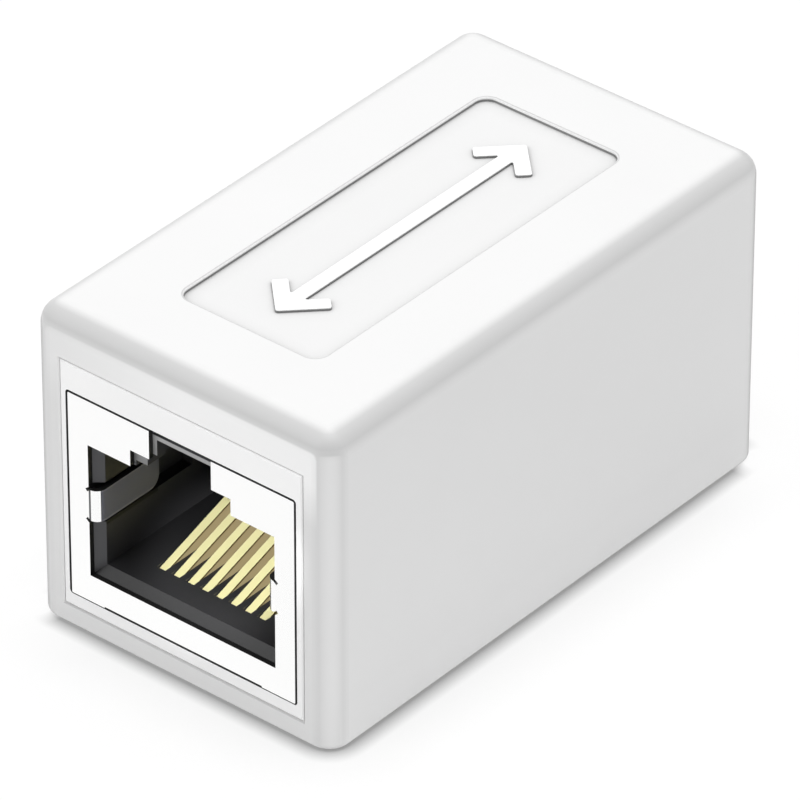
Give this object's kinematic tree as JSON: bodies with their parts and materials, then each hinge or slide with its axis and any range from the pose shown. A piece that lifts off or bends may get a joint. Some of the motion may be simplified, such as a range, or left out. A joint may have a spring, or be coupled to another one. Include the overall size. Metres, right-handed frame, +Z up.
{
  "type": "inline network coupler",
  "caption": "White rectangular inline coupler with a shielded eight-way modular socket in each end face and a shallow sunk panel on top.",
  "frame": {"origin": "middle of the flat base, in the plane it rests on", "axes": "+Z up, towards the latch side of both sockets; +Y along the body from the front socket to the rear one; +X across, to the right of someone facing the front socket"},
  "size_m": [0.021, 0.0368, 0.0203],
  "materials": {
    "white_shell": "satin white moulding",
    "white_trim": "smooth white moulding",
    "nickel_plating": "bright nickel plating on folded sheet",
    "black_moulding": "black glass-filled moulding",
    "gold_plating": "thin gold plating on stamped bronze",
    "board_laminate": "green laminate"
  },
  "bodies": {
    "root": {"outer_sleeve": "white_shell", "circuit_board": "board_laminate", "front_bezel": "white_trim", "rear_bezel": "white_trim", "front_jack_shield": "nickel_plating", "rear_jack_shield": "nickel_plating", "front_jack_housing": "black_moulding", "rear_jack_housing": "black_moulding", "front_contact_carrier": "black_moulding", "rear_contact_carrier": "black_moulding", "front_contact_1": "gold_plating", "front_contact_2": "gold_plating", "front_contact_3": "gold_plating", "front_contact_4": "gold_plating", "front_contact_5": "gold_plating", "front_contact_6": "gold_plating", "front_contact_7": "gold_plating", "front_contact_8": "gold_plating", "rear_contact_1": "gold_plating", "rear_contact_2": "gold_plating", "rear_contact_3": "gold_plating", "rear_contact_4": "gold_plating", "rear_contact_5": "gold_plating", "rear_contact_6": "gold_plating", "rear_contact_7": "gold_plating", "rear_contact_8": "gold_plating"}
  },
  "joints": []
}
